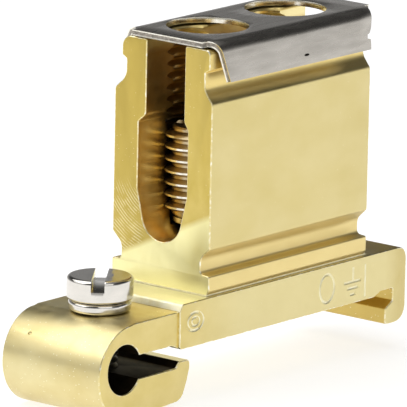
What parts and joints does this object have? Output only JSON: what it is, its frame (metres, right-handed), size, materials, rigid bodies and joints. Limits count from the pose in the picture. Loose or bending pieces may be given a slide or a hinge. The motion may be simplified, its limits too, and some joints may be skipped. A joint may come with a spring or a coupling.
{
  "type": "ground clamp",
  "caption": "Brass earth clamp for a top-hat rail: a deep slotted block with set screws and a steel cap strap, on a hooked foot whose rolled jaw a cheese-head screw pulls tight.",
  "frame": {"origin": "underside of the foot, where the rail sits, below the middle of the clamp block", "axes": "+Z away from the rail, +X along the foot from the flexing jaw to the fixed hook, +Y along the rail"},
  "size_m": [0.0498, 0.0143, 0.0373],
  "materials": {
    "brass": "satin",
    "bright_steel": "brushed",
    "nickel_plate": "polished"
  },
  "bodies": {
    "clamp": {"rail_foot": "brass", "clamp_block": "brass", "cap_strap": "bright_steel"},
    "clamp_screw_1_tip": {"pressure_tip_1": "bright_steel"},
    "clamp_screw_1_shank": {"clamp_screw_1": "bright_steel"},
    "clamp_screw_2_tip": {"pressure_tip_2": "bright_steel"},
    "clamp_screw_2_shank": {"clamp_screw_2": "bright_steel"},
    "rail_screw_washer": {"spring_washer": "nickel_plate"},
    "rail_screw_shank": {"rail_screw": "nickel_plate"}
  },
  "joints": [
    {"name": "clamp_screw_1_travel", "type": "slide", "parent": "clamp", "child": "clamp_screw_1_tip", "axis": [0, 0, 1], "range_m": [0, 0.01]},
    {"name": "clamp_screw_1_turn", "type": "hinge", "parent": "clamp_screw_1_tip", "child": "clamp_screw_1_shank", "pos_m": [-0.00635, 0, 0.016], "axis": [0, 0, 1], "range_deg": [0, 2880]},
    {"name": "clamp_screw_2_travel", "type": "slide", "parent": "clamp", "child": "clamp_screw_2_tip", "axis": [0, 0, 1], "range_m": [0, 0.01]},
    {"name": "clamp_screw_2_turn", "type": "hinge", "parent": "clamp_screw_2_tip", "child": "clamp_screw_2_shank", "pos_m": [0.00635, 0, 0.016], "axis": [0, 0, 1], "range_deg": [0, 2880]},
    {"name": "rail_screw_travel", "type": "slide", "parent": "clamp", "child": "rail_screw_washer", "axis": [0, 0, 1], "range_m": [0, 0.0028]},
    {"name": "rail_screw_turn", "type": "hinge", "parent": "rail_screw_washer", "child": "rail_screw_shank", "pos_m": [-0.0226, 0, 0.006], "axis": [0, 0, 1], "range_deg": [0, 1440]}
  ],
  "couplings": [
    {"joint": "clamp_screw_1_turn", "follows": "clamp_screw_1_travel", "rad_per_m": 5026.5},
    {"joint": "clamp_screw_2_turn", "follows": "clamp_screw_2_travel", "rad_per_m": 5026.5},
    {"joint": "rail_screw_turn", "follows": "rail_screw_travel", "rad_per_m": 8976}
  ]
}
